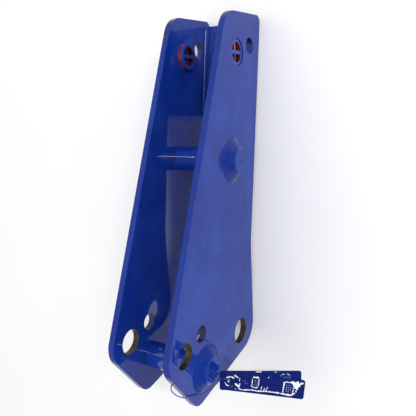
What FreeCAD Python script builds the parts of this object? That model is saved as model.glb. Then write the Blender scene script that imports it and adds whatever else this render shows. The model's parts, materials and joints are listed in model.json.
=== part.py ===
import FreeCAD, Part
import math
import os

from FreeCAD import Vector

# Quick coupler frame: two bored side plates, tied by two round cross bars and a rear web,
# lying on its rear edges.  Millimetres, +Z up.  X runs along the plates from the toe to the
# top, Y across them, and the origin is on the floor under the middle of the frame.
#
# The plates are laid out on their own drawing axes: U rearward from the line of bores, V up
# that line, both from the centre of the hook bore.  to_row() turns them into the row frame.

os.makedirs("parts", exist_ok=True)

# ---- plates
PLATE_T = 8.0
GAP = 68.0
EDGE_BREAK = 0.8
INNER_Y = GAP / 2
OUTER_Y = INNER_Y + PLATE_T

# corner (U, V) and its radius, in order round the plate
LOWER_FRONT = (-30.5, -18.2, 28.0)
TOE = (53.0, -64.0, 20.0)
HEEL = (189.5, 20.0, 34.0)
REAR_BEND = (129.0, 147.0, 60.0)
REAR_TOP = (43.0, 440.0, 9.0)
FRONT_TOP = (-43.0, 396.5, 31.0)
OUTLINE = [LOWER_FRONT, TOE, HEEL, REAR_BEND, REAR_TOP, FRONT_TOP]

# ---- bores: (U, V) and radius
HOOK_BORE = (0.0, 0.0, 15.0)
KEEPER_HOLE = (30.0, 24.0, 10.25)
LOCK_BORE = (139.5, 27.5, 17.0)
TOP_BORE = (0.0, 365.0, 16.25)
TOP_KEEPER_HOLE = (28.0, 388.5, 10.25)

# ---- cross bars and their fillet welds
BAR_R = 16.0
BAR_FIT = 0.1
BAR_PROUD = 11.5
BAR_CHAMFER = 1.2
DIMPLE_R = 2.2
DIMPLE_TIP_R = 0.2
DIMPLE_DEPTH = 2.4
MID_BAR = (34.5, 237.5)
LOWER_BAR = (53.0, -17.0)
BAR_WELD_TOE_R = 28.5
BAR_WELD_HEIGHT = 9.6
BAR_WELD_CROWN = -0.4

# ---- rear web
WEB_T = 8.0
WEB_SET_IN = 0.3
WEB_TOP_FROM_CORNER = 8.5
WEB_LENGTH = 120.5
WEB_HOLE_R = 10.25
WEB_HOLE_FROM_TOP = 18.0
WEB_WELD_LEG = 5.0
WEB_WELD_CROWN = 0.5
WEB_WELD_SET_BACK = 1.5

# ---- masking plugs in the top bores
PLUG_FIT = 0.05
PLUG_WALL = 4.1
PLUG_ROUND = 0.5
PLUG_RECESS = 1.2
PLUG_PROUD = 6.5
PLUG_FLOOR = 1.6
WIDE_RIB = 4.2
WIDE_RIB_SET_BACK = 0.5
CROSS_RIB = 2.4
CROSS_RIB_SET_BACK = 2.2
PLUG_TURN = 24.0

# how far a cutting tool runs past the face that it cuts
CUT_PAST = 1.0

# ---- tags and their wire
TAG_L = 102.0
TAG_W = 24.0
TAG_T = 0.8
TAG_CORNER_R = 3.0
TAG_HOLE_R = 3.4
TAG_HOLE_INSET = 9.0
TAG_HOLE_AT = (90.4, -30.8, -56.0)
TAG_STEP = 4.2
TAG_GAP = 0.5
FRONT_TAG_TURN = 7.0
# the tags' directions as (U, V, Y): along the tag, and across it
TAG_ALONG = (0.470, 0.169, -0.866)
TAG_ACROSS = (0.211, -0.975, -0.076)
WIRE_D = 1.2
LOOP_R = 6.8
LOOP_HALF_CHORD = 6.3
LOOP_LEAN = -30.0

# the wire's route as (U, V, Y): from its loop, behind the lower weld, through the keeper
# hole, down the inner face, round the toe's edge and back below the weld to the loop
WIRE_ROUTE = [
    (80.2, -29.1, -50.9),
    (79.4, -24.6, -49.2),
    (80.2, -16.0, -46.4),
    (78.8, -3.6, -44.0),
    (70.6, 8.6, -43.4),
    (58.6, 13.6, -43.4),
    (46.6, 16.6, -44.0),
    (38.4, 19.0, -44.4),
    (34.2, 19.8, -40.4),
    (32.6, 19.4, -35.4),
    (29.8, 15.6, -31.4),
    (22.0, 1.0, -31.0),
    (12.0, -15.2, -31.0),
    (2.4, -27.8, -31.0),
    (-2.8, -36.6, -32.6),
    (-3.6, -40.2, -36.8),
    (1.2, -43.4, -42.0),
    (10.0, -45.4, -44.4),
    (22.6, -46.0, -44.4),
    (37.6, -46.4, -44.2),
    (52.4, -46.4, -44.6),
    (65.6, -41.2, -47.6),
    (73.6, -36.0, -50.0),
    (80.2, -31.0, -50.9),
]


def unit(vector):
    result = Vector(vector)
    result.normalize()
    return result


def corner_centre(before, corner, after):
    """The centre of the round on a corner, and its two tangent points, as (U, V) vectors."""
    here = Vector(corner[0], corner[1], 0)
    back = unit(Vector(before[0], before[1], 0) - here)
    ahead = unit(Vector(after[0], after[1], 0) - here)
    half = back.getAngle(ahead) / 2
    reach = corner[2] / math.tan(half)
    centre = here + unit(back + ahead) * (corner[2] / math.sin(half))
    return centre, here + back * reach, here + ahead * reach


# The frame rests on the rounds of its heel and its rear top corner: the floor is the line
# that touches both.
heel_centre = corner_centre(TOE, HEEL, REAR_BEND)[0]
rear_top_centre = corner_centre(REAR_BEND, REAR_TOP, FRONT_TOP)[0]
toe_centre = corner_centre(LOWER_FRONT, TOE, HEEL)[0]
rest_line = rear_top_centre - heel_centre
rest_slope = math.atan2(rest_line.y, rest_line.x)
lay_angle = rest_slope - math.asin((REAR_TOP[2] - HEEL[2]) / rest_line.Length)
# the row's X and Z, as (U, V) directions
X_DIR = Vector(math.cos(lay_angle), math.sin(lay_angle), 0)
Z_DIR = Vector(-math.sin(lay_angle), math.cos(lay_angle), 0)
FLOOR = heel_centre.dot(Z_DIR) - HEEL[2]
X_LOW = toe_centre.dot(X_DIR) - TOE[2]
X_HIGH = rear_top_centre.dot(X_DIR) + REAR_TOP[2]
X_MIDDLE = (X_LOW + X_HIGH) / 2


def to_row(u, v, y=0.0):
    spot = Vector(u, v, 0)
    return Vector(spot.dot(X_DIR) - X_MIDDLE, y, spot.dot(Z_DIR) - FLOOR)


def turn_to_row(direction):
    spot = Vector(direction[0], direction[1], 0)
    return Vector(spot.dot(X_DIR), direction[2], spot.dot(Z_DIR))


def export(name, shape):
    shape.exportStep("parts/" + name + ".step")
    print(name, "solids", len(shape.Solids), "valid", shape.isValid(), "mm3", round(shape.Volume))


def cylinder(u, v, radius, y_from, y_to):
    return Part.makeCylinder(radius, y_to - y_from, to_row(u, v, y_from), Vector(0, 1, 0))


def rim_edges(shape):
    """The edges that lie in a plane square to Y."""
    return [edge for edge in shape.Edges if edge.BoundBox.YLength < 1e-6]


def plate_wire(y):
    """The plate's outline: straight edges joined by tangent rounds."""
    edges = []
    rounds = []
    count = len(OUTLINE)
    for i in range(count):
        before = OUTLINE[i - 1]
        corner = OUTLINE[i]
        after = OUTLINE[(i + 1) % count]
        centre, start, end = corner_centre(before, corner, after)
        middle = centre + unit(Vector(corner[0], corner[1], 0) - centre) * corner[2]
        rounds.append((start, middle, end))
    for i in range(count):
        start, middle, end = rounds[i]
        following = rounds[(i + 1) % count][0]
        edges.append(Part.Arc(to_row(start.x, start.y, y), to_row(middle.x, middle.y, y),
                              to_row(end.x, end.y, y)).toShape())
        edges.append(Part.LineSegment(to_row(end.x, end.y, y),
                                      to_row(following.x, following.y, y)).toShape())
    return Part.Wire(edges)


def side_plate(y_from, y_to):
    blank = Part.Face(plate_wire(y_from)).extrude(Vector(0, y_to - y_from, 0))
    plate = blank.makeFillet(EDGE_BREAK, rim_edges(blank))
    for u, v, radius in (HOOK_BORE, KEEPER_HOLE, LOCK_BORE, TOP_BORE, TOP_KEEPER_HOLE):
        plate = plate.cut(cylinder(u, v, radius, y_from - CUT_PAST, y_to + CUT_PAST))
    for u, v in (MID_BAR, LOWER_BAR):
        seat = cylinder(u, v, BAR_R + BAR_FIT, y_from - CUT_PAST, y_to + CUT_PAST)
        plate = plate.cut(seat)
    return plate


def cross_bar(u, v):
    end_y = OUTER_Y + BAR_PROUD
    bar = cylinder(u, v, BAR_R, -end_y, end_y)
    bar = bar.makeChamfer(BAR_CHAMFER, rim_edges(bar))
    for side in (-1, 1):
        dimple = Part.makeCone(DIMPLE_R, DIMPLE_TIP_R, DIMPLE_DEPTH,
                               to_row(u, v, side * end_y), Vector(0, -side, 0))
        bar = bar.cut(dimple)
    return bar


def bar_weld(u, v, side):
    """A fillet weld ring between a plate's outer face and the proud end of a bar."""
    axis_at = to_row(u, v, side * OUTER_Y)
    root = Vector(BAR_R, 0, 0)
    top = Vector(BAR_R, 0, BAR_WELD_HEIGHT)
    toe = Vector(BAR_WELD_TOE_R, 0, 0)
    outward = unit(Vector(BAR_WELD_HEIGHT, 0, BAR_WELD_TOE_R - BAR_R))
    crown = (top + toe) * 0.5 + outward * BAR_WELD_CROWN
    face = Part.Face(Part.Wire([
        Part.LineSegment(root, top).toShape(),
        Part.Arc(top, crown, toe).toShape(),
        Part.LineSegment(toe, root).toShape(),
    ]))
    ring = face.revolve(Vector(0, 0, 0), Vector(0, 0, 1), 360)
    ring.Placement = FreeCAD.Placement(axis_at, FreeCAD.Rotation(Vector(0, 0, 1),
                                                                 Vector(0, side, 0)))
    return ring


# the rear web's own directions in the plate's plane
edge_down = unit(Vector(REAR_BEND[0] - REAR_TOP[0], REAR_BEND[1] - REAR_TOP[1], 0))
edge_inward = Vector(edge_down.y, -edge_down.x, 0)
rear_corner = Vector(REAR_TOP[0], REAR_TOP[1], 0)
web_down = turn_to_row(edge_down)
web_inward = turn_to_row(edge_inward)
WEB_HOLE_DOWN = WEB_TOP_FROM_CORNER + WEB_HOLE_FROM_TOP


def web_point(down, inward, y):
    """A point by its distance down the rear edge and in from the web's rear face."""
    spot = rear_corner + edge_down * down + edge_inward * (WEB_SET_IN + inward)
    return to_row(spot.x, spot.y, y)


def prism(points, sweep):
    return Part.Face(Part.makePolygon(points + [points[0]])).extrude(sweep)


def rear_web():
    low = WEB_TOP_FROM_CORNER
    high = WEB_TOP_FROM_CORNER + WEB_LENGTH
    corners = [
        web_point(low, 0, -INNER_Y),
        web_point(high, 0, -INNER_Y),
        web_point(high, WEB_T, -INNER_Y),
        web_point(low, WEB_T, -INNER_Y),
    ]
    web = prism(corners, Vector(0, GAP, 0))
    across = [edge for edge in web.Edges if edge.BoundBox.YLength > GAP / 2]
    web = web.makeFillet(EDGE_BREAK, across)
    drill = Part.makeCylinder(WEB_HOLE_R, WEB_T + 2 * CUT_PAST,
                              web_point(WEB_HOLE_DOWN, -CUT_PAST, 0), web_inward)
    return web.cut(drill)


def web_weld(side):
    """The fillet weld up the inner corner between the web and a plate."""
    start = WEB_TOP_FROM_CORNER + WEB_WELD_SET_BACK
    length = WEB_LENGTH - 2 * WEB_WELD_SET_BACK
    root = web_point(start, WEB_T, side * INNER_Y)
    on_plate = web_point(start, WEB_T + WEB_WELD_LEG, side * INNER_Y)
    on_web = web_point(start, WEB_T, side * (INNER_Y - WEB_WELD_LEG))
    bulge = unit(web_inward + Vector(0, -side, 0)) * WEB_WELD_CROWN
    crown = (on_plate + on_web) * 0.5 + bulge
    face = Part.Face(Part.Wire([
        Part.LineSegment(root, on_plate).toShape(),
        Part.Arc(on_plate, crown, on_web).toShape(),
        Part.LineSegment(on_web, root).toShape(),
    ]))
    return face.extrude(web_down * length)


def bore_plug(side):
    """A moulded masking plug: a short tube with a floor and a cross rib on each side of it."""
    u, v, bore_r = TOP_BORE
    radius = bore_r - PLUG_FIT
    outer = OUTER_Y - PLUG_RECESS
    inner = INNER_Y - PLUG_PROUD
    plug = cylinder(u, v, radius, inner, outer)
    plug = plug.makeFillet(PLUG_ROUND, rim_edges(plug))
    plug = plug.cut(cylinder(u, v, radius - PLUG_WALL, inner - CUT_PAST, outer + CUT_PAST))
    floor_y = (outer + inner) / 2
    pieces = [cylinder(u, v, radius - PLUG_WALL / 2, floor_y - PLUG_FLOOR / 2,
                       floor_y + PLUG_FLOOR / 2)]
    long_rib = 2 * radius - PLUG_WALL
    centre = to_row(u, v, 0)
    for thick, set_back, turn in ((WIDE_RIB, WIDE_RIB_SET_BACK, PLUG_TURN),
                                  (CROSS_RIB, CROSS_RIB_SET_BACK, PLUG_TURN + 90)):
        rib = Part.makeBox(long_rib, outer - inner - 2 * set_back, thick,
                           Vector(-long_rib / 2, inner + set_back, -thick / 2))
        angle = math.radians(turn)
        along = turn_to_row((math.cos(angle), math.sin(angle), 0))
        rib.rotate(Vector(0, 0, 0), Vector(0, 1, 0), -math.degrees(math.atan2(along.z, along.x)))
        rib.translate(centre)
        pieces.append(rib)
    plug = plug.fuse(pieces).removeSplitter()
    if side < 0:
        plug = plug.mirror(Vector(0, 0, 0), Vector(0, 1, 0))
    return plug


def tag_frame(turn_degrees):
    """The direction along a tag, turned in the tag's plane, and the way its face looks."""
    along = unit(turn_to_row(TAG_ALONG))
    across = unit(turn_to_row(TAG_ACROSS))
    across = unit(across - along * across.dot(along))
    facing = unit(across.cross(along))
    turn = math.radians(turn_degrees)
    return along * math.cos(turn) + across * math.sin(turn), facing


def tag(hole_at, turn_degrees):
    """A stamped strip tag: round corners and one hole, its hole at the given point."""
    along, facing = tag_frame(turn_degrees)
    blank = Part.makeBox(TAG_L, TAG_W, TAG_T, Vector(-TAG_HOLE_INSET, -TAG_W / 2, 0))
    upright = [edge for edge in blank.Edges if edge.BoundBox.ZLength > TAG_T / 2]
    blank = blank.makeFillet(TAG_CORNER_R, upright)
    blank = blank.cut(Part.makeCylinder(TAG_HOLE_R, TAG_T * 3, Vector(0, 0, -TAG_T)))
    side = facing.cross(along)
    matrix = FreeCAD.Matrix(
        along.x, side.x, facing.x, 0,
        along.y, side.y, facing.y, 0,
        along.z, side.z, facing.z, 0,
        0, 0, 0, 1)
    blank.Placement = FreeCAD.Placement(hole_at, FreeCAD.Rotation(matrix))
    return blank


def route_tube(points, diameter):
    """A round wire along straight runs joined by tangent arcs."""
    edges = []
    radii = []
    last = points[0]
    for i in range(1, len(points) - 1):
        here = points[i]
        back = points[i - 1] - here
        ahead = points[i + 1] - here
        half_turn = (math.pi - back.getAngle(ahead)) / 2
        reach = 0.45 * min(back.Length, ahead.Length)
        radius = reach / math.tan(half_turn)
        radii.append(round(radius, 1))
        start = here + unit(back) * reach
        end = here + unit(ahead) * reach
        centre = here + unit(unit(back) + unit(ahead)) * (radius / math.cos(half_turn))
        middle = centre + unit(here - centre) * radius
        edges.append(Part.LineSegment(last, start).toShape())
        edges.append(Part.Arc(start, middle, end).toShape())
        last = end
    edges.append(Part.LineSegment(last, points[-1]).toShape())
    spine = Part.Wire(edges)
    ring = Part.Wire(Part.makeCircle(diameter / 2, points[0], points[1] - points[0]))
    tube = spine.makePipeShell([ring], True, True)
    section = math.pi * diameter ** 2 / 4
    print("wire radii mm", radii)
    print("wire length mm", round(spine.Length, 1), "volume ratio",
          round(tube.Volume / (section * spine.Length), 4))
    return tube


def wire_loop(through, along, facing):
    """The closed loop that the wire makes through both tags' holes and round their ends."""
    up = FreeCAD.Rotation(along, LOOP_LEAN).multVec(facing)
    lift = math.sqrt(LOOP_R ** 2 - LOOP_HALF_CHORD ** 2)
    middle = through - along * LOOP_HALF_CHORD + up * lift
    return Part.makeTorus(LOOP_R, WIRE_D / 2, middle, unit(along.cross(up)))


# ---- build
for name, side in (("left", 1), ("right", -1)):
    near = min(side * INNER_Y, side * OUTER_Y)
    export(name + "_side_plate", side_plate(near, near + PLATE_T))
    export("mid_bar_weld_" + name, bar_weld(MID_BAR[0], MID_BAR[1], side))
    export("lower_bar_weld_" + name, bar_weld(LOWER_BAR[0], LOWER_BAR[1], side))
    export("web_weld_" + name, web_weld(side))
    export(name + "_bore_plug", bore_plug(side))

export("mid_cross_bar", cross_bar(*MID_BAR))
export("lower_cross_bar", cross_bar(*LOWER_BAR))
export("rear_web", rear_web())

along_tag, tag_facing = tag_frame(0)
back_hole = to_row(*TAG_HOLE_AT)
front_hole = back_hole + along_tag * TAG_STEP + tag_facing * (TAG_T + TAG_GAP)
export("back_tag", tag(back_hole, 0))
export("front_tag", tag(front_hole, FRONT_TAG_TURN))
export("tag_wire_loop", wire_loop((back_hole + front_hole) * 0.5, along_tag, tag_facing))
export("tag_wire", route_tube([to_row(*point) for point in WIRE_ROUTE], WIRE_D))

# ---- places that the record states
print("x from", round(X_LOW - X_MIDDLE, 3), "to", round(X_HIGH - X_MIDDLE, 3))
for name, spot in (("hook", HOOK_BORE), ("keeper", KEEPER_HOLE), ("lock", LOCK_BORE),
                   ("top", TOP_BORE), ("top_keeper", TOP_KEEPER_HOLE), ("mid bar", MID_BAR),
                   ("lower bar", LOWER_BAR)):
    place = to_row(spot[0], spot[1])
    print(name, round(place.x, 3), round(place.z, 3))
place = web_point(WEB_HOLE_DOWN, WEB_T / 2, 0)
print("web_hole", round(place.x, 3), round(place.z, 3))
print("web_hole_axis", round(web_inward.x, 6), round(web_inward.z, 6))
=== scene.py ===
import json
import math

import bmesh
import bpy
from mathutils import Matrix, Vector, noise


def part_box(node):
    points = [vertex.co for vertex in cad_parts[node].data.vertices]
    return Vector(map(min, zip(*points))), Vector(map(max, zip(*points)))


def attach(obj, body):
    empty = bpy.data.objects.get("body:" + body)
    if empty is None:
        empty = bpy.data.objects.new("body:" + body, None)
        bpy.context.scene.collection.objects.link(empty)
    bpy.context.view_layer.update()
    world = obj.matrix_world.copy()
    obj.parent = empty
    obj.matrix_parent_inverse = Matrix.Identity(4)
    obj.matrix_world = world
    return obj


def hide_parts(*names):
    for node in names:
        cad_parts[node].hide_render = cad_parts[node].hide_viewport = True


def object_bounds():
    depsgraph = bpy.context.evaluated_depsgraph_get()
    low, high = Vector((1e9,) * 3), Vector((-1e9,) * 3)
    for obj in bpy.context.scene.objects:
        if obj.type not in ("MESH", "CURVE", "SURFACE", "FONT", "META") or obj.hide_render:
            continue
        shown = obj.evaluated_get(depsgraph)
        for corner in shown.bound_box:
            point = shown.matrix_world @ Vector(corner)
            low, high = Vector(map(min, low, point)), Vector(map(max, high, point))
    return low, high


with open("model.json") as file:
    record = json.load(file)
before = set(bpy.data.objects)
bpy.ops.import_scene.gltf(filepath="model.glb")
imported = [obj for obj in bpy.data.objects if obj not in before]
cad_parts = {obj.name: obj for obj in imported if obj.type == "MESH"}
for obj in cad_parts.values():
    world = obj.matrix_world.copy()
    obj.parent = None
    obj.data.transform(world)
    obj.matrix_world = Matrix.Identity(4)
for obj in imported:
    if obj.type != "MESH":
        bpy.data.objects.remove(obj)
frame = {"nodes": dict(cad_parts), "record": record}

# The looks of a quick coupler frame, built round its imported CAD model.  Metres, in the
# row frame: X along the plates, Y across them, Z up, the floor at Z = 0.

MM = 0.001
cad_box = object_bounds()
nodes = frame["nodes"]
mounts = {mount["name"]: mount for mount in frame["record"]["mounts"]}

# ---- colours, linear, and indices of refraction
PAINT = (0.0055, 0.030, 0.270)
PAINT_THIN = (0.010, 0.048, 0.340)
PAINT_DEEP = (0.003, 0.018, 0.180)
# lighter paint: real scuffs on the plates, and painted sheen on the web's streaks
PAINT_STREAK_AND_SHEEN = (0.030, 0.060, 0.380)
# a painted highlight for the web's rounded top edge
PAINT_HIGHLIGHT = (0.220, 0.300, 0.700)
STEEL = (0.095, 0.078, 0.048)
STEEL_DARK = (0.035, 0.027, 0.018)
PLASTIC = (0.270, 0.036, 0.024)
PLASTIC_DEEP = (0.100, 0.012, 0.010)
# a painted highlight on the plugs' thin rib
PLASTIC_HIGHLIGHT = (0.560, 0.170, 0.150)
# painted shade at the bottoms of the plugs' pockets
PLASTIC_SHADE = (0.014, 0.008, 0.016)
TAG_PAINT = (0.0015, 0.0070, 0.0900)
# pale metal on the tags, standing both for worn bare metal and for painted highlights
TAG_METAL_AND_GLINT = (0.880, 0.890, 0.910)
TAG_IOR = 1.18
PAINT_IOR = 1.32
MOUND_IOR = 1.18
WIRE_IOR = 1.50
PLUG_IOR = 1.46
COAT_ROUGHNESS = 0.03

# a bore's bare wall is full up to the first distance outside its radius, and gone by the second
WALL_FULL = 0.10 * MM
WALL_FADE = 0.45 * MM
# the bars lose their coat from this far short of their end faces, over this depth
END_DULL = 1.2 * MM
END_FADE = 0.8 * MM


# ---------------------------------------------------------------- materials
class Look:
    """A node material being put together on its Principled shader."""

    def __init__(self, name):
        self.material = bpy.data.materials.new(name)
        self.material.use_nodes = True
        self.tree = self.material.node_tree
        self.shader = self.tree.nodes["Principled BSDF"]
        coordinates = self.tree.nodes.new("ShaderNodeTexCoord")
        self.spot = coordinates.outputs["Object"]
        self.normal = coordinates.outputs["Normal"]

    def put(self, socket, value):
        """Link a socket to another's output, or give it a number or colour of its own."""
        if isinstance(value, bpy.types.NodeSocket):
            self.tree.links.new(value, socket)
        elif isinstance(value, tuple) and len(value) == 3 and socket.type == "RGBA":
            socket.default_value = (*value, 1.0)
        else:
            socket.default_value = value

    def set(self, name, value):
        self.put(self.shader.inputs[name], value)

    def math(self, operation, a, b=0.0, c=0.0):
        node = self.tree.nodes.new("ShaderNodeMath")
        node.operation = operation
        for socket, value in zip(node.inputs, (a, b, c)):
            self.put(socket, value)
        return node.outputs[0]

    def times(self, first, *others):
        """The product of two or more values."""
        product = first
        for other in others:
            product = self.math("MULTIPLY", product, other)
        return product

    def step(self, value, low, high, to_low=0.0, to_high=1.0):
        """A smooth step of value from low to high."""
        node = self.tree.nodes.new("ShaderNodeMapRange")
        node.interpolation_type = "SMOOTHSTEP"
        for socket, number in zip(node.inputs, (value, low, high, to_low, to_high)):
            self.put(socket, number)
        return node.outputs[0]

    def mix(self, factor, a, b):
        node = self.tree.nodes.new("ShaderNodeMixRGB")
        for socket, value in zip(node.inputs, (factor, a, b)):
            self.put(socket, value)
        return node.outputs[0]

    def stretched(self, stretch):
        """The object's own coordinates, scaled along each axis."""
        node = self.tree.nodes.new("ShaderNodeVectorMath")
        node.operation = "MULTIPLY"
        self.put(node.inputs[0], self.spot)
        node.inputs[1].default_value = stretch
        return node.outputs[0]

    def noise(self, size, detail=2.0, rough=0.5, stretch=None, warp=0.0):
        """Noise whose blobs are about that size in metres."""
        node = self.tree.nodes.new("ShaderNodeTexNoise")
        self.put(node.inputs["Vector"], self.stretched(stretch) if stretch else self.spot)
        node.inputs["Scale"].default_value = 1.0 / size
        node.inputs["Detail"].default_value = detail
        node.inputs["Roughness"].default_value = rough
        node.inputs["Distortion"].default_value = warp
        return node.outputs[0]

    def cells(self, size):
        """The distance to the nearest of scattered points, in units of that size."""
        node = self.tree.nodes.new("ShaderNodeTexVoronoi")
        self.put(node.inputs["Vector"], self.spot)
        node.inputs["Scale"].default_value = 1.0 / size
        return node.outputs["Distance"]

    def part(self, vector, axis):
        """One part of a vector: 0 for X, 1 for Y, 2 for Z."""
        node = self.tree.nodes.new("ShaderNodeSeparateXYZ")
        self.put(node.inputs[0], vector)
        return node.outputs[axis]

    def from_axis(self, x, z):
        """The distance from a line along Y through (x, z)."""
        node = self.tree.nodes.new("ShaderNodeVectorMath")
        node.operation = "DISTANCE"
        self.put(node.inputs[0], self.stretched((1.0, 0.0, 1.0)))
        node.inputs[1].default_value = (x, 0.0, z)
        return node.outputs["Value"]

    def bump(self, height, distance, under=None):
        node = self.tree.nodes.new("ShaderNodeBump")
        node.inputs["Strength"].default_value = 1.0
        node.inputs["Distance"].default_value = distance
        self.put(node.inputs["Height"], height)
        if under is not None:
            self.put(node.inputs["Normal"], under)
        return node.outputs[0]

    def edges(self, radius):
        """1 on an edge and 0 on a flat, from how far a rounded normal leaves the true one."""
        bevel = self.tree.nodes.new("ShaderNodeBevel")
        bevel.samples = 4
        bevel.inputs["Radius"].default_value = radius
        geometry = self.tree.nodes.new("ShaderNodeNewGeometry")
        dot = self.tree.nodes.new("ShaderNodeVectorMath")
        dot.operation = "DOT_PRODUCT"
        self.put(dot.inputs[0], bevel.outputs[0])
        self.put(dot.inputs[1], geometry.outputs["Normal"])
        return self.step(dot.outputs["Value"], 0.995, 0.80)


def paint_layers(look, gloss=0.03, peel=0.3):
    """Sprayed gloss paint: its colour, roughness and surface, as three outputs."""
    film = look.noise(60 * MM, detail=3.0, rough=0.6)
    mottle = look.noise(7 * MM, detail=2.0)
    colour = look.mix(look.step(film, 0.35, 0.72), PAINT, PAINT_THIN)
    colour = look.mix(look.step(mottle, 0.55, 0.85, 0.0, 0.35), colour, PAINT_DEEP)
    dust = look.step(look.cells(4.2 * MM), 0.10, 0.03)
    dusty = look.times(dust, look.step(look.noise(25 * MM), 0.48, 0.62))
    haze = look.step(look.noise(35 * MM, detail=4.0, rough=0.65), 0.50, 0.78, 0.0, 0.06)
    rough = look.math("ADD", haze, gloss)
    rough = look.math("ADD", rough, look.times(dusty, 0.12))
    orange_peel = look.noise(1.9 * MM, detail=1.5, rough=0.4)
    wave = look.noise(28 * MM, detail=1.0)
    surface = look.bump(wave, 0.06 * MM)
    surface = look.bump(orange_peel, peel * 0.010 * MM, surface)
    surface = look.bump(dusty, 0.02 * MM, surface)
    return colour, rough, surface


def bore_wall(look, mount_name):
    """1 on the wall of a mount's bore, and 0 from a little way into the plate's faces."""
    x, _, z = mounts[mount_name]["pos_m"]
    radius = mounts[mount_name]["dims"]["r_mm"] * MM
    return look.step(look.from_axis(x, z), radius + WALL_FADE, radius + WALL_FULL)


def inner_face_zones(look):
    """Where a plate's inner face has its second coat, and where it is painted darker as shade, below
    the lower bar.
    """
    inward = look.times(look.part(look.normal, 1), look.part(look.spot, 1))
    along = look.part(look.spot, 0)
    web_low, web_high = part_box("rear_web")
    bar_low, bar_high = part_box("lower_cross_bar")
    inner = look.step(inward, -0.95 * web_high.y, -0.99 * web_high.y)
    over_bar = look.step(along, bar_high.x + 5 * MM, bar_high.x + 45 * MM)
    under_web = look.step(along, web_low.x + 30 * MM, web_low.x + 5 * MM)
    under_bar = look.step(along, bar_high.x - 5 * MM, bar_low.x)
    coated = look.times(inner, look.times(over_bar, under_web))
    return coated, look.times(inner, under_bar)


def plate_look():
    """The plates: scuffed, run and chipped gloss paint, with bare steel pin bores."""
    look = Look("gloss_blue_plate")
    colour, rough, surface = paint_layers(look)
    # fine scuffs along the faces and faint runs down them
    scuff = look.noise(0.45 * MM, detail=3.0, rough=0.7, stretch=(0.03, 1.0, 1.0), warp=0.4)
    scuffed_area = look.step(look.noise(45 * MM), 0.50, 0.62)
    scuffed = look.times(look.step(scuff, 0.66, 0.74), scuffed_area)
    runs = look.noise(11 * MM, detail=2.0, stretch=(0.10, 1.0, 1.0))
    colour = look.mix(look.step(runs, 0.50, 0.70, 0.0, 0.30), colour, PAINT_DEEP)
    colour = look.mix(look.times(scuffed, 0.35), colour, PAINT_STREAK_AND_SHEEN)
    rough = look.math("ADD", rough, look.times(scuffed, 0.18))
    surface = look.bump(runs, 0.05 * MM, surface)
    # flame-cut drag lines across the edges
    on_edge = look.step(look.math("ABSOLUTE", look.part(look.normal, 1)), 0.75, 0.45)
    drag = look.noise(0.9 * MM, detail=2.0, stretch=(1.0, 0.06, 1.0))
    surface = look.bump(look.times(drag, on_edge), 0.06 * MM, surface)
    colour = look.mix(look.times(on_edge, 0.60), colour, PAINT_DEEP)
    # paint worn thin along the edges, and through it in places
    edge = look.edges(0.8 * MM)
    chips = look.step(look.noise(6 * MM, detail=4.0, rough=0.7), 0.62, 0.70)
    colour = look.mix(look.times(edge, 0.45), colour, PAINT_THIN)
    bare = look.times(edge, chips, 0.8)
    # paint knocked off the cut edges at the top end
    top = cad_box[1][0]
    top_end = look.step(look.part(look.spot, 0), top - 52 * MM, top - 28 * MM)
    patches = look.step(look.noise(13 * MM, detail=4.0, rough=0.65), 0.47, 0.54)
    knocked = look.times(top_end, on_edge, patches)
    bare = look.math("MAXIMUM", bare, look.times(knocked, 0.85))
    # the inner faces have a second coat from the lower bar up to the web; below the bar they are
    # painted darker, as shade
    coated, painted_toe_shade = inner_face_zones(look)
    colour = look.mix(look.times(painted_toe_shade, 0.8), colour, PAINT_DEEP)
    look.set("Coat Weight", look.times(coated, 0.9))
    look.set("Coat Roughness", COAT_ROUGHNESS)
    # the keeper hole's wall is rough and darker
    keeper_wall = bore_wall(look, "keeper_bore")
    colour = look.mix(look.times(keeper_wall, 0.7), colour, STEEL_DARK)
    rough = look.math("ADD", rough, look.times(keeper_wall, 0.35))
    # the pin bores are bare steel
    for name in ("hook_bore", "lock_bore"):
        bare = look.math("MAXIMUM", bare, bore_wall(look, name))
    stain = look.noise(9 * MM, detail=4.0, rough=0.65)
    tool = look.noise(0.5 * MM, detail=2.0, stretch=(0.10, 1.0, 0.10))
    metal = look.mix(look.step(stain, 0.35, 0.70), STEEL_DARK, STEEL)
    metal = look.mix(look.step(tool, 0.4, 0.8, 0.0, 0.4), metal, STEEL_DARK)
    look.set("Base Color", look.mix(bare, colour, metal))
    look.set("Metallic", look.times(bare, 0.75))
    look.set("Roughness", look.math("ADD", look.times(bare, 0.40), rough))
    look.set("Normal", look.bump(look.times(tool, bare), 0.04 * MM, surface))
    look.set("IOR", PAINT_IOR)
    return look.material


def web_look():
    """The web's sheet: streaks down its face, bumped and painted lighter as sheen, a painted highlight
    along its top edge, and bare patches only on its top edge.
    """
    look = Look("gloss_blue_web")
    colour, rough, surface = paint_layers(look, gloss=0.22)
    colour = look.mix(0.5, colour, PAINT_DEEP)
    streak = look.noise(1.6 * MM, detail=2.0, rough=0.5, stretch=(0.05, 1.0, 0.05))
    # the streaks are bumped, and painted lighter as sheen
    streak_sheen = look.step(streak, 0.50, 0.66)
    colour = look.mix(look.times(streak_sheen, 0.55), colour, PAINT_STREAK_AND_SHEEN)
    surface = look.bump(streak, 0.05 * MM, surface)
    turned = look.math("ABSOLUTE", look.part(look.normal, 0))
    on_top = look.step(turned, 0.70, 0.95)
    patches = look.step(look.noise(12 * MM, detail=4.0, rough=0.65), 0.46, 0.54)
    bare = look.times(on_top, patches, 0.8)
    # the rounded top edge is painted pale, as a highlight
    top_edge_highlight = look.times(look.step(turned, 0.62, 0.70), look.step(turned, 0.97, 0.90))
    colour = look.mix(top_edge_highlight, colour, PAINT_HIGHLIGHT)
    look.set("Base Color", look.mix(bare, colour, STEEL_DARK))
    look.set("Metallic", look.times(bare, 0.6))
    look.set("Roughness", look.math("ADD", look.times(bare, 0.4), rough))
    look.set("Normal", surface)
    look.set("IOR", PAINT_IOR)
    return look.material


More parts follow.
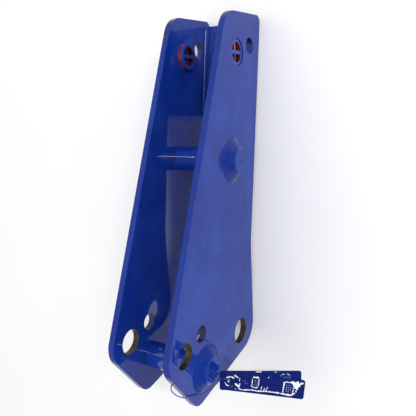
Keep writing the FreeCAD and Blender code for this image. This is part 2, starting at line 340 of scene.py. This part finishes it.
def paint_look(name, gloss, peel, ior=PAINT_IOR, deep=0.0, coat=0.0, dull_past=None):
    """Gloss paint with no wear.  Beyond dull_past from the middle plane it has no coat."""
    look = Look(name)
    colour, rough, surface = paint_layers(look, gloss, peel)
    if deep:
        colour = look.mix(deep, colour, PAINT_DEEP)
    if dull_past is not None:
        outward = look.math("ABSOLUTE", look.part(look.spot, 1))
        end = look.step(outward, dull_past, dull_past + END_FADE)
        colour = look.mix(end, colour, PAINT)
        coat = look.times(look.math("SUBTRACT", 1.0, end), coat)
    look.set("Base Color", colour)
    look.set("Roughness", rough)
    look.set("Normal", surface)
    look.set("IOR", ior)
    look.set("Coat Weight", coat)
    look.set("Coat Roughness", COAT_ROUGHNESS)
    return look.material


def tag_look():
    """Thin gloss paint over pale metal, which shows where the mesh marks it; the pale is partly worn
    bare metal and partly painted highlight.
    """
    look = Look("gloss_blue_tag")
    colour, rough, surface = paint_layers(look, gloss=0.05, peel=0.6)
    colour = look.mix(0.80, colour, TAG_PAINT)
    node = look.tree.nodes.new("ShaderNodeAttribute")
    node.attribute_name = "wear_and_glint"
    centred = look.math("SUBTRACT", look.noise(1.3 * MM, detail=3.0), 0.5)
    ragged = look.times(centred, 0.9)
    # the pale metal shows as worn bare metal and as painted highlight
    wear_and_glint = look.step(look.math("ADD", node.outputs["Fac"], ragged), 0.46, 0.60)
    brushed = look.noise(0.4 * MM, detail=2.0)
    metal = look.mix(look.step(brushed, 0.35, 0.7, 0.0, 0.25), TAG_METAL_AND_GLINT, PAINT_THIN)
    look.set("Base Color", look.mix(wear_and_glint, colour, metal))
    look.set("Roughness", look.math("ADD", look.times(wear_and_glint, 0.25), rough))
    look.set("Normal", surface)
    look.set("IOR", TAG_IOR)
    return look.material


def plug_look():
    """The plugs: red plastic with paint on what faces out of the bores, and painted shade inside."""
    look = Look("orange_plug")
    facing = look.math("ABSOLUTE", look.part(look.normal, 1))
    outward = look.math("ABSOLUTE", look.part(look.spot, 1))
    low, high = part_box("left_bore_plug")
    x, z = (low.x + high.x) / 2, (low.z + high.z) / 2
    plug_r = (high.x - low.x) / 2
    # paint on both end faces, and on the lower half of the thin rib between them
    near_end = look.step(outward, high.y - 1.8 * MM, high.y - 0.9 * MM)
    near_inside = look.step(outward, low.y + 1.8 * MM, low.y + 0.9 * MM)
    ends = look.math("MAXIMUM", near_end, near_inside)
    broken = look.step(look.noise(2.5 * MM, detail=3.0), 0.22, 0.36)
    lower_half = look.step(look.part(look.spot, 0), x + 1.5 * MM, x - 1.5 * MM)
    on_rib = look.step(outward, high.y - 2.9 * MM, high.y - 2.4 * MM)
    ends = look.math("MAXIMUM", ends, look.times(on_rib, lower_half))
    sprayed = look.times(look.step(facing, 0.25, 0.7), ends)
    # overspray on the outside of each rim
    outside = look.step(look.from_axis(x, z), plug_r - 0.9 * MM, plug_r - 0.3 * MM)
    drift = look.math("ADD", outward, look.times(look.noise(6 * MM), 2.0 * MM))
    rim = look.step(drift, low.y + 4.2 * MM, low.y + 3.0 * MM)
    sprayed = look.math("MAXIMUM", look.times(sprayed, broken),
                        look.times(rim, outside))
    tone = look.noise(8 * MM, detail=3.0)
    plastic = look.mix(look.step(tone, 0.30, 0.65), PLASTIC_DEEP, PLASTIC)
    # the pockets are painted darker inside, and nearly black towards their bottoms, most on the left
    # plug and in the lower halves: all painted shade
    middle = (low.y + high.y) / 2
    depth = look.math("ABSOLUTE", look.math("SUBTRACT", outward, middle))
    pocket_shade = look.step(depth, 7.0 * MM, 1.5 * MM, 0.25, 0.9)
    inside = look.step(look.from_axis(x, z), plug_r - 2.2 * MM, plug_r - 3.4 * MM)
    plastic = look.mix(look.times(inside, 0.6), plastic, PLASTIC_DEEP)
    left_side = look.step(look.part(look.spot, 1), -1 * MM, 1 * MM)
    shaded_side = look.math("MAXIMUM", left_side, look.times(lower_half, 0.85))
    pocket_shade = look.times(pocket_shade, look.math("MAXIMUM", shaded_side, 0.45))
    plastic = look.mix(look.times(pocket_shade, inside), plastic, PLASTIC_SHADE)
    # the thin rib's upper half is painted pale, as a highlight
    thin_rib_highlight = look.times(on_rib, look.step(facing, 0.5, 0.8))
    plastic = look.mix(look.times(thin_rib_highlight, 0.8), plastic, PLASTIC_HIGHLIGHT)
    look.set("Base Color", look.mix(sprayed, plastic, PAINT_THIN))
    look.set("Roughness", look.step(look.noise(3 * MM), 0.3, 0.7, 0.28, 0.45))
    look.set("Normal", look.bump(look.noise(0.8 * MM, detail=3.0), 0.02 * MM))
    look.set("IOR", PLUG_IOR)
    return look.material


def dress(piece, material):
    """Give a piece one material."""
    piece.data.materials.clear()
    piece.data.materials.append(material)


# ---------------------------------------------------------------- making pieces
def add_piece(name, shape, material, node, crease=40.0):
    """A bmesh as a piece that stands for a CAD node of the frame body."""
    bmesh.ops.recalc_face_normals(shape, faces=shape.faces)
    mesh = bpy.data.meshes.new(name)
    shape.to_mesh(mesh)
    shape.free()
    for face in mesh.polygons:
        face.use_smooth = True
    mesh.set_sharp_from_angle(angle=math.radians(crease))
    piece = bpy.data.objects.new(name, mesh)
    bpy.context.scene.collection.objects.link(piece)
    dress(piece, material)
    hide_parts(node)
    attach(piece, "frame")
    return piece


def skin(shape, rings, closed):
    """A closed surface through rings of points; the last ring joins the first if closed."""
    rows = [[shape.verts.new(point) for point in ring] for ring in rings]
    count = len(rows[0])
    for i in range(len(rows) if closed else len(rows) - 1):
        here = rows[i]
        ahead = rows[(i + 1) % len(rows)]
        for j in range(count):
            k = (j + 1) % count
            shape.faces.new((here[j], here[k], ahead[k], ahead[j]))
    if not closed:
        shape.faces.new(rows[0])
        shape.faces.new(rows[-1][::-1])


def span(node, direction):
    """How low and how high a CAD node reaches along a direction."""
    reach = [vertex.co.dot(direction) for vertex in nodes[node].data.vertices]
    return min(reach), max(reach)


def wavering(x, y=0.0, z=0.0):
    """Smooth noise from -1 to 1, the same on every run."""
    return noise.noise(Vector((x, y, z)))


def ease(low, high, value):
    """A smooth step from 0 at low to 1 at high."""
    share = min(1.0, max(0.0, (value - low) / (high - low)))
    return share * share * (3.0 - 2.0 * share)


# ---------------------------------------------------------------- weld beads
# points across a bead's face, and how far its hidden back lies in the metal
BEAD_STEPS = 18
BEAD_UNDER = 0.15 * MM
RING_SECTIONS = 220
RING_RIPPLES = 47
RING_SAG = 0.80 * MM
RING_LIFT = 0.35 * MM
RING_ROOT_SHARE = 0.97
RING_PASSES = 3
PASS_CROWN = 0.13 * MM
RIPPLE = 0.11 * MM
TOE_WANDER = 0.45 * MM
WEB_RIPPLE_PITCH = 2.1 * MM
WEB_BULGE = 0.45 * MM
WEB_TAPER = 4.0 * MM
WEB_END_SHARE = 0.45
WEB_SWAY = 0.07
DIAGONAL = 0.707


def ring_bead(bar, side_name, side):
    """A weld bead round a bar's end: a shallow cone with fine ripples and a wandering toe."""
    node = bar + "_bar_weld_" + side_name
    low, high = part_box(node)
    bar_low, bar_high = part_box(bar + "_cross_bar")
    centre = (low + high) / 2
    toe_r = (high.x - low.x) / 2
    bar_r = (bar_high.x - bar_low.x) / 2
    height = high.y - low.y
    plate_y = low.y if side > 0 else high.y
    seed = 3.7 * side + toe_r / MM + centre.x / MM
    rings = []
    for i in range(RING_SECTIONS):
        angle = math.tau * i / RING_SECTIONS
        across, up = math.cos(angle), math.sin(angle)
        wander = TOE_WANDER * wavering(2.2 * across + seed, 2.2 * up)
        lift = RING_LIFT * wavering(1.4 * across - seed, 1.4 * up)
        ring = []
        for j in range(BEAD_STEPS + 1):
            share = j / BEAD_STEPS
            hump = math.sin(math.pi * share)
            bow = 0.35 * hump
            ripple = hump * math.sin(RING_RIPPLES * angle + 5.0 * bow)
            ripple *= RIPPLE * (0.35 + 0.5 * wavering(3.0 * across, 3.0 * up, seed + share))
            radius = bar_r + (toe_r + wander - bar_r) * share + 0.55 * ripple
            rise = (height + lift) * (1.0 - share) - RING_SAG * hump + ripple
            rise += PASS_CROWN * hump * abs(math.sin(RING_PASSES * math.pi * share))
            ring.append((radius, max(rise, 0.0)))
        ring.append((toe_r + wander - BEAD_UNDER, -BEAD_UNDER))
        ring.append((bar_r - BEAD_UNDER, -BEAD_UNDER))
        ring.append((bar_r - BEAD_UNDER, height * RING_ROOT_SHARE))
        rings.append([Vector((centre.x + radius * across, plate_y + side * rise,
                              centre.z + radius * up)) for radius, rise in ring])
    shape = bmesh.new()
    skin(shape, rings, closed=True)
    paint = mound_paint if bar == "lower" else weld_paint
    return add_piece(bar + "_weld_bead_" + side_name, shape, paint, node)


def web_bead(side_name, side):
    """The bead up the corner between the rear web and a plate, tapered at both ends."""
    node = "web_weld_" + side_name
    inward = Vector(mounts["web_hole"]["axis"])
    inward = inward if inward.z > 0 else -inward
    down = Vector((-inward.z, 0.0, inward.x))
    start, end = span(node, down)
    face, top = span(node, inward)
    low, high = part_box(node)
    plate_y = high.y if side > 0 else low.y
    leg = top - face
    sections = 4 * round((end - start) / WEB_RIPPLE_PITCH)
    rings = []
    for i in range(sections + 1):
        run = start + (end - start) * i / sections
        inset = min(run - start, end - run)
        rounding = math.sqrt(1.0 - (1.0 - min(1.0, inset / WEB_TAPER)) ** 2)
        taper = WEB_END_SHARE + (1.0 - WEB_END_SHARE) * rounding
        size = leg * taper * (1.0 + WEB_SWAY * wavering(run / (9 * MM), 4.0 * side))
        ring = []
        for j in range(BEAD_STEPS + 1):
            share = j / BEAD_STEPS
            hump = math.sin(math.pi * share)
            swell = WEB_BULGE * hump * taper
            phase = math.tau * (run / WEB_RIPPLE_PITCH) + 2.4 * hump
            swell += 0.9 * RIPPLE * hump * math.sin(phase)
            ring.append((size * (1.0 - share) + swell * DIAGONAL,
                         size * share + swell * DIAGONAL))
        ring.append((-BEAD_UNDER, size))
        ring.append((-BEAD_UNDER, -BEAD_UNDER))
        ring.append((size, -BEAD_UNDER))
        rings.append([down * run + inward * (face + rise) + Vector((0, plate_y - side * out, 0))
                      for rise, out in ring])
    shape = bmesh.new()
    skin(shape, rings, closed=False)
    return add_piece("web_bead_" + side_name, shape, seam_paint, node)


# ---------------------------------------------------------------- tags
# A tag's own axes: S along it from its hole end, T across it, and its height over its face.
TAG_GRID = 0.5 * MM
TAG_ROUND = 3.0 * MM
HOLE_R = 3.4 * MM
HOLE_INSET = 9.0 * MM
# the grid has a square gap at the hole, and is drawn round from the gap out to the reach
HOLE_KEEP = 3.0 * MM
HOLE_REACH = 7.0 * MM
TAG_BEND = 0.25 * MM
TAG_BEND_ANGLE = 5.0
WEAR_AND_GLINT_UNDER = 0.4

# raised patches with rims that show the pale metal, as wear and as painted highlight: S and T from and
# to, and the rim's share of it
FRONT_PATCHES = [(24.0, 32.0, 6.0, 15.5, 0.25), (36.0, 44.5, 4.0, 16.5, 0.75),
                 (75.5, 88.0, 5.0, 20.0, 1.0)]
BACK_PATCHES = [(40.0, 49.0, 5.0, 16.0, 0.5), (76.0, 88.0, 4.0, 17.0, 0.6)]
# ridges that show the pale metal, as wear and as painted highlight: half width, its share, and points
# along each as (S, T)
FRONT_RIDGES = [
    (0.75, 1.0, [(20.5, 20.6), (26.5, 21.2), (35.5, 20.0), (45.0, 20.6), (57.0, 19.6),
                 (72.0, 19.8), (80.0, 21.0), (87.0, 20.6), (90.5, 17.5)]),
    (0.7, 0.8, [(20.5, 20.6), (21.0, 14.0), (20.0, 7.5)]),
    (1.5, 1.0, [(16.0, 15.0), (20.0, 17.5)]),
    (0.9, 1.0, [(37.5, 3.6), (44.0, 3.8)]),
    (0.6, 0.9, [(48.0, 20.0), (48.8, 14.5)]),
    (0.6, 0.9, [(51.5, 20.0), (52.4, 16.5)]),
    (0.6, 0.9, [(54.5, 19.8), (56.0, 14.0)]),
    (0.5, 0.7, [(12.0, 19.0), (17.0, 21.0)]),
    (0.8, 0.9, [(4.0, 8.5), (9.0, 6.6), (13.0, 8.0)]),
    (0.6, 0.8, [(2.5, 14.5), (4.5, 17.5), (8.0, 18.0)]),
    (0.7, 1.0, [(14.0, 4.5), (17.5, 6.5)]),
    (0.5, 0.6, [(55.0, 2.0), (60.0, 1.6)]),
]
BACK_RIDGES = [
    (0.7, 1.0, [(45.5, 1.2), (51.5, 1.2)]),
    (0.6, 0.9, [(68.0, 1.4), (71.0, 1.6)]),
    (0.6, 0.8, [(20.0, 20.5), (60.0, 20.0), (92.0, 21.0)]),
]
# a flaked area with three corners, as (S, T), that shows the pale metal, as bare metal and as painted
# highlight
FRONT_FLAKE = [(86.0, 3.8), (100.0, 3.4), (91.5, 14.5)]
# the relief, all in millimetres
PATCH_CORNER = 3.0
PATCH_RAISE = 0.16
PATCH_SLOPE = 0.6
RIM_RAISE = 0.12
RIM_WIDTH = 0.75
RIDGE_RAISE = 0.22
RELIEF_CAP = 0.38
DOT_MARGIN = 1.6
DOT_PITCH = 2.6
DOT_RAISE = 0.10
DOT_SPREAD = 0.36
DOT_WEAR_AND_GLINT = 0.85
FLAKE_SINK = 0.06


def to_segment(s, t, a, b):
    """The distance from a point to a straight stretch."""
    along = ((s - a[0]) * (b[0] - a[0]) + (t - a[1]) * (b[1] - a[1]))
    along /= (b[0] - a[0]) ** 2 + (b[1] - a[1]) ** 2
    along = min(1.0, max(0.0, along))
    return math.hypot(s - a[0] - along * (b[0] - a[0]), t - a[1] - along * (b[1] - a[1]))


def to_line(s, t, points):
    """The distance from a point to a line of straight stretches."""
    return min(to_segment(s, t, a, b) for a, b in zip(points, points[1:]))


def out_of_patch(s, t, patch):
    """The distance outside a rounded rectangle, negative inside it."""
    left, right, top, bottom = patch[:4]
    over_s = abs(s - (left + right) / 2) - (right - left) / 2 + PATCH_CORNER
    over_t = abs(t - (top + bottom) / 2) - (bottom - top) / 2 + PATCH_CORNER
    outside = math.hypot(max(over_s, 0.0), max(over_t, 0.0))
    return outside + min(max(over_s, over_t), 0.0) - PATCH_CORNER


def in_flake(s, t, corners):
    """How far inside a triangle a point is, negative outside."""
    inside = []
    for (s_a, t_a), (s_b, t_b) in zip(corners, corners[1:] + corners[:1]):
        length = math.hypot(s_b - s_a, t_b - t_a)
        inside.append(((s_b - s_a) * (t - t_a) - (t_b - t_a) * (s - s_a)) / length)
    return min(inside)


def stamping(s, t, patches, ridges, flake, seed):
    """The height of a tag's face and how much pale metal shows there, as wear and as painted highlight,
    with S and T in millimetres.
    """
    wobble = 0.9 * wavering(s / 2.6, t / 2.6, seed) + 0.6 * wavering(s / 1.1, t / 1.1, seed + 4.0)
    height = 0.05 * wavering(s / 2.3, t / 2.3, seed + 9.0)
    wear_and_glint = 0.0
    for patch in patches:
        out = out_of_patch(s, t, patch) + wobble
        height += PATCH_RAISE * ease(PATCH_SLOPE, -PATCH_SLOPE, out)
        rim = math.exp(-(out / RIM_WIDTH) ** 2)
        height += RIM_RAISE * rim
        wear_and_glint = max(wear_and_glint, rim * patch[4])
        if out < -DOT_MARGIN:
            dot_s = (s - patch[0]) % DOT_PITCH - DOT_PITCH / 2
            dot_t = (t - patch[2]) % DOT_PITCH - DOT_PITCH / 2
            dot = math.exp(-((dot_s ** 2 + dot_t ** 2) / DOT_SPREAD))
            height += DOT_RAISE * dot
            wear_and_glint = max(wear_and_glint, DOT_WEAR_AND_GLINT * dot)
    for half_width, ridge_wear_and_glint, points in ridges:
        off = abs(to_line(s, t, points) + 0.6 * wobble)
        ridge = math.exp(-(off / half_width) ** 2)
        height += RIDGE_RAISE * ridge
        wear_and_glint = max(wear_and_glint, ridge_wear_and_glint * ridge)
    if flake:
        depth = in_flake(s, t, flake) + 2.2 * wobble
        wear_and_glint = max(wear_and_glint, ease(-0.5, 0.5, depth))
        height -= FLAKE_SINK * ease(-0.4, 0.4, depth)
    return min(height, RELIEF_CAP), wear_and_glint


def round_corner(a, b):
    """A point of a square grid moved so that the square's far corner is round."""
    far = max(a, b)
    if min(a, b) <= 0.0 or far <= 0.0:
        return a, b
    pull = far / math.hypot(a, b)
    return a * pull, b * pull


def tag_axes(node):
    """A tag's own axes: along it from its hole end, across it, and out of its upper face."""
    faces = sorted(nodes[node].data.polygons, key=lambda face: -face.area)
    facing = faces[0].normal.copy()
    facing = facing if facing.z > 0 else -facing
    long_side = next(face.normal.copy() for face in faces if abs(face.normal.dot(facing)) < 0.1)
    along = facing.cross(long_side)
    along = along if along.y < 0 else -along
    across = facing.cross(-along)
    across = across if across.x < 0 else -across
    return along, across, facing


def from_hole(s, t, width):
    """How far a point is from the hole's middle, as the half side of a square."""
    return max(abs(s - HOLE_INSET), abs(t - width / 2))


def tag_point(s, t, length, width):
    """A point of the square grid, moved so that the tag's corners and its hole are round."""
    a = max(TAG_ROUND - s, s - (length - TAG_ROUND))
    b = max(TAG_ROUND - t, t - (width - TAG_ROUND))
    a_new, b_new = round_corner(a, b)
    s += (a_new - a) * (-1.0 if s < length / 2 else 1.0)
    t += (b_new - b) * (-1.0 if t < width / 2 else 1.0)
    square = from_hole(s, t, width)
    if HOLE_KEEP * 0.9 < square < HOLE_REACH:
        ds = s - HOLE_INSET
        dt = t - width / 2
        share = (square - HOLE_KEEP) / (HOLE_REACH - HOLE_KEEP)
        circle = HOLE_R / math.hypot(ds, dt)
        edge = circle * (1.0 - share) + (HOLE_REACH / square) * share
        s = HOLE_INSET + ds * edge
        t = width / 2 + dt * edge
    return s, t


def close_tag(shape, front, back, squares):
    """The faces over the grid's squares on both sides, and the walls between the two."""
    uses = {}
    for corners in squares:
        shape.faces.new([front[corner] for corner in corners])
        shape.faces.new([back[corner] for corner in reversed(corners)])
        for a, b in zip(corners, corners[1:] + corners[:1]):
            uses[frozenset((a, b))] = uses.get(frozenset((a, b)), 0) + 1
    for pair, count in uses.items():
        if count == 1:
            a, b = sorted(pair)
            shape.faces.new((front[a], front[b], back[b], back[a]))
    loose = [vertex for vertex in shape.verts if not vertex.link_faces]
    bmesh.ops.delete(shape, geom=loose, context="VERTS")


def stamped_tag(name, node, patches, ridges, flake, seed):
    """A tag as a fine mesh with its stamping, and at every point how much pale metal shows, as wear and
    as painted highlight.
    """
    along, across, facing = tag_axes(node)
    s_low, s_high = span(node, along)
    t_low, t_high = span(node, across)
    under, face_at = span(node, facing)
    length = s_high - s_low
    width = t_high - t_low
    columns = round(length / TAG_GRID)
    rows = round(width / TAG_GRID)
    shape = bmesh.new()
    wear_and_glint_layer = shape.verts.layers.float.new("wear_and_glint")
    skins = []
    for level in (face_at, under):
        grid = {}
        for i in range(columns + 1):
            for j in range(rows + 1):
                s_grid, t_grid = length * i / columns, width * j / rows
                if from_hole(s_grid, t_grid, width) < HOLE_KEEP - TAG_GRID / 2:
                    continue
                s, t = tag_point(s_grid, t_grid, length, width)
                height, wear_and_glint = stamping(s / MM, t / MM, patches, ridges, flake, seed)
                bend = TAG_BEND * math.sin(s / length * TAG_BEND_ANGLE + seed)
                spot = along * (s_low + s) + across * (t_low + t)
                spot += facing * (level + height * MM + bend)
                vertex = shape.verts.new(spot)
                vertex[wear_and_glint_layer] = wear_and_glint if level == face_at else WEAR_AND_GLINT_UNDER * wear_and_glint
                grid[i, j] = vertex
        skins.append(grid)
    front, back = skins
    squares = []
    for i in range(columns):
        for j in range(rows):
            corners = [(i, j), (i + 1, j), (i + 1, j + 1), (i, j + 1)]
            middle = (length * (i + 0.5) / columns, width * (j + 0.5) / rows)
            clear = from_hole(*middle, width) >= HOLE_KEEP
            if clear and all(corner in front for corner in corners):
                squares.append(corners)
    close_tag(shape, front, back, squares)
    return add_piece(name, shape, tag_paint, node, crease=50.0)


# ---------------------------------------------------------------- the tags' wire
STRAND_R = 0.30 * MM
STRAND_OFFSET = 0.31 * MM
LOOP_TWISTS = 13
LOOP_SECTIONS = 260
STRAND_SIDES = 8
WIRE_D = 0.0012

# the wire's route in metres on the plates' drawing axes, as (U, V, Y): U rearward from the
# hook bore, V up the line of bores
WIRE_ROUTE = [
    (0.0802, -0.0291, -0.0509),
    (0.0794, -0.0246, -0.0492),
    (0.0802, -0.0160, -0.0464),
    (0.0788, -0.0036, -0.0440),
    (0.0706, 0.0086, -0.0434),
    (0.0586, 0.0136, -0.0434),
    (0.0466, 0.0166, -0.0440),
    (0.0384, 0.0190, -0.0444),
    (0.0342, 0.0198, -0.0404),
    (0.0326, 0.0194, -0.0354),
    (0.0298, 0.0156, -0.0314),
    (0.0220, 0.0010, -0.0310),
    (0.0120, -0.0152, -0.0310),
    (0.0024, -0.0278, -0.0310),
    (-0.0028, -0.0366, -0.0326),
    (-0.0036, -0.0402, -0.0368),
    (0.0012, -0.0434, -0.0420),
    (0.0100, -0.0454, -0.0444),
    (0.0226, -0.0460, -0.0444),
    (0.0376, -0.0464, -0.0442),
    (0.0524, -0.0464, -0.0446),
    (0.0656, -0.0412, -0.0476),
    (0.0736, -0.0360, -0.0500),
    (0.0802, -0.0310, -0.0509),
]
# the lock bore's place on the drawing axes, which with the hook bore fixes how they lie
LOCK_U, LOCK_V = 0.1395, 0.0275


def on_plate(u, v, y):
    """A place on the plates' drawing axes, in the row frame."""
    hook = mounts["hook_bore"]["pos_m"]
    lock = mounts["lock_bore"]["pos_m"]
    turned = math.atan2(lock[2] - hook[2], lock[0] - hook[0]) - math.atan2(LOCK_V, LOCK_U)
    return Vector((hook[0] + u * math.cos(turned) - v * math.sin(turned), y,
                   hook[2] + u * math.sin(turned) + v * math.cos(turned)))


def twisted_loop(node):
    """The closed loop through the tags' holes: two thin strands twisted round each other."""
    points = [vertex.co for vertex in nodes[node].data.vertices]
    centre = sum(points, Vector()) / len(points)
    first = (points[0] - centre).normalized()
    axis = Vector()
    for point in points:
        turned = first.cross(point - centre)
        axis += turned if turned.dot(axis) >= 0 else -turned
    axis.normalize()
    first = (first - axis * first.dot(axis)).normalized()
    second = axis.cross(first)
    loop_r = max((point - centre).length for point in points) - WIRE_D / 2
    shape = bmesh.new()
    for strand in (0.0, math.pi):
        rings = []
        for i in range(LOOP_SECTIONS):
            angle = math.tau * i / LOOP_SECTIONS
            out = first * math.cos(angle) + second * math.sin(angle)
            wind = LOOP_TWISTS * angle + strand
            middle = centre + out * (loop_r + STRAND_OFFSET * math.cos(wind))
            middle += axis * (STRAND_OFFSET * math.sin(wind))
            ring = []
            for j in range(STRAND_SIDES):
                round_by = math.tau * j / STRAND_SIDES
                outward = out * math.cos(round_by) + axis * math.sin(round_by)
                ring.append(middle + outward * STRAND_R)
            rings.append(ring)
        skin(shape, rings, closed=True)
    return add_piece("twisted_wire_loop", shape, wire_paint, node)


def tie_wire():
    """The tags' wire, a smooth curve with a round section along its route."""
    data = bpy.data.curves.new("tie_wire", "CURVE")
    data.dimensions = "3D"
    data.bevel_depth = WIRE_D / 2
    data.bevel_resolution = 3
    data.use_fill_caps = True
    data.resolution_u = 8
    spline = data.splines.new("NURBS")
    spline.points.add(len(WIRE_ROUTE) - 1)
    for point, place in zip(spline.points, WIRE_ROUTE):
        point.co = (*on_plate(*place), 1.0)
    spline.order_u = 3
    spline.use_endpoint_u = True
    wire = bpy.data.objects.new("tie_wire", data)
    bpy.context.scene.collection.objects.link(wire)
    dress(wire, wire_paint)
    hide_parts("tag_wire")
    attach(wire, "frame")
    return wire


# ---------------------------------------------------------------- the object
plate_paint = plate_look()
bar_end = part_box("mid_cross_bar")[1].y
bar_paint = paint_look("gloss_blue_bar", gloss=0.025, peel=0.12, coat=1.0, dull_past=bar_end - END_DULL)
weld_paint = paint_look("gloss_blue_weld", gloss=0.04, peel=0.5, deep=0.60)
mound_paint = paint_look("gloss_blue_mound", gloss=0.08, peel=0.6, ior=MOUND_IOR, deep=0.35)
seam_paint = paint_look("gloss_blue_seam", gloss=0.20, peel=0.8, deep=0.30)
tag_paint = tag_look()
wire_paint = paint_look("gloss_blue_wire", gloss=0.14, peel=1.0, ior=WIRE_IOR)
plug_plastic = plug_look()

for name, material in (
    ("left_side_plate", plate_paint), ("right_side_plate", plate_paint),
    ("rear_web", web_look()), ("mid_cross_bar", bar_paint), ("lower_cross_bar", bar_paint),
    ("left_bore_plug", plug_plastic), ("right_bore_plug", plug_plastic),
):
    dress(nodes[name], material)

for side_name, side in (("left", 1), ("right", -1)):
    for bar in ("mid", "lower"):
        ring_bead(bar, side_name, side)
    web_bead(side_name, side)

stamped_tag("front_stamped_tag", "front_tag", FRONT_PATCHES, FRONT_RIDGES, FRONT_FLAKE, 1.3)
stamped_tag("back_stamped_tag", "back_tag", BACK_PATCHES, BACK_RIDGES, None, 6.1)
loop = twisted_loop("tag_wire_loop")
tie_wire()

# ---------------------------------------------------------------- floor, light, camera
FLOOR_HALF = 40.0
FLOOR_TONE = (0.86, 0.86, 0.865)
FLOOR_PALE = (0.90, 0.90, 0.90)
# a studio that is dim at eye level and bright overhead
ROOM_LIGHT = 0.50
CEILING_LIGHT = 1.10
CEILING_WAY = Vector((0.20, 0.15, 0.97)).normalized()
CEILING_FROM = -0.10
CEILING_TO = 0.95
# one long lamp over the object, lengthwise along Y
LAMP_AT = Vector((0.69, -1.08, 1.62))
LAMP_TARGET = Vector((0.05, 0.0, 0.07))
LAMP_WIDTH = 0.07
LAMP_LENGTH = 0.80
LAMP_WATTS = 15.0
CAMERA_AT = Vector((0.07411, -0.31380, 0.60590))
CAMERA_RIGHT = Vector((0.00823, -0.86619, -0.49965))
CAMERA_UP = Vector((0.99039, 0.07604, -0.11552))
LENS = 41.33
SENSOR = 36.0


def pale_floor():
    """A wide level floor at Z = 0, which isn't part of the object."""
    look = Look("pale_floor")
    grain = look.noise(120 * MM, detail=5.0, rough=0.6)
    look.set("Base Color", look.mix(grain, FLOOR_TONE, FLOOR_PALE))
    look.set("Roughness", 0.85)
    look.set("Specular IOR Level", 0.15)
    mesh = bpy.data.meshes.new("floor")
    half = FLOOR_HALF
    mesh.from_pydata([(-half, -half, 0), (half, -half, 0), (half, half, 0), (-half, half, 0)],
                     [], [(0, 1, 2, 3)])
    floor = bpy.data.objects.new("floor", mesh)
    bpy.context.scene.collection.objects.link(floor)
    dress(floor, look.material)


def studio_light():
    """Light from all round that grows towards the ceiling's direction."""
    world = bpy.data.worlds.new("studio")
    bpy.context.scene.world = world
    world.use_nodes = True
    sky = world.node_tree
    way = sky.nodes.new("ShaderNodeTexCoord").outputs["Generated"]
    toward = sky.nodes.new("ShaderNodeVectorMath")
    toward.operation = "DOT_PRODUCT"
    toward.inputs[1].default_value = CEILING_WAY
    sky.links.new(way, toward.inputs[0])
    glow = sky.nodes.new("ShaderNodeMapRange")
    glow.interpolation_type = "SMOOTHSTEP"
    levels = (CEILING_FROM, CEILING_TO, ROOM_LIGHT, CEILING_LIGHT)
    for socket, value in zip(glow.inputs[1:5], levels):
        socket.default_value = value
    sky.links.new(toward.outputs["Value"], glow.inputs[0])
    background = sky.nodes["Background"]
    background.inputs["Color"].default_value = (1.0, 1.0, 1.0, 1.0)
    sky.links.new(glow.outputs[0], background.inputs["Strength"])


def placed(name, data, place, right, up, back):
    """A lamp or camera at a place, looking away from its back direction."""
    thing = bpy.data.objects.new(name, data)
    turn = Matrix((right, up, back)).transposed()
    thing.matrix_world = Matrix.Translation(place) @ turn.to_4x4()
    bpy.context.scene.collection.objects.link(thing)
    return thing


def tube_lamp():
    """A long rectangular lamp that faces the object."""
    data = bpy.data.lights.new("tube_lamp", "AREA")
    data.shape = "RECTANGLE"
    data.size = LAMP_WIDTH
    data.size_y = LAMP_LENGTH
    data.energy = LAMP_WATTS
    back = (LAMP_AT - LAMP_TARGET).normalized()
    long_way = Vector((0.0, 1.0, 0.0))
    long_way = (long_way - back * long_way.dot(back)).normalized()
    placed("tube_lamp", data, LAMP_AT, long_way.cross(back), long_way, back)


def main_camera():
    data = bpy.data.cameras.new("camera")
    data.sensor_width = SENSOR
    data.lens = LENS
    data.clip_start = 0.01
    back = CAMERA_RIGHT.cross(CAMERA_UP)
    bpy.context.scene.camera = placed("camera", data, CAMERA_AT, CAMERA_RIGHT, CAMERA_UP, back)


pale_floor()
studio_light()
tube_lamp()
main_camera()
bpy.context.scene.view_settings.view_transform = "Standard"
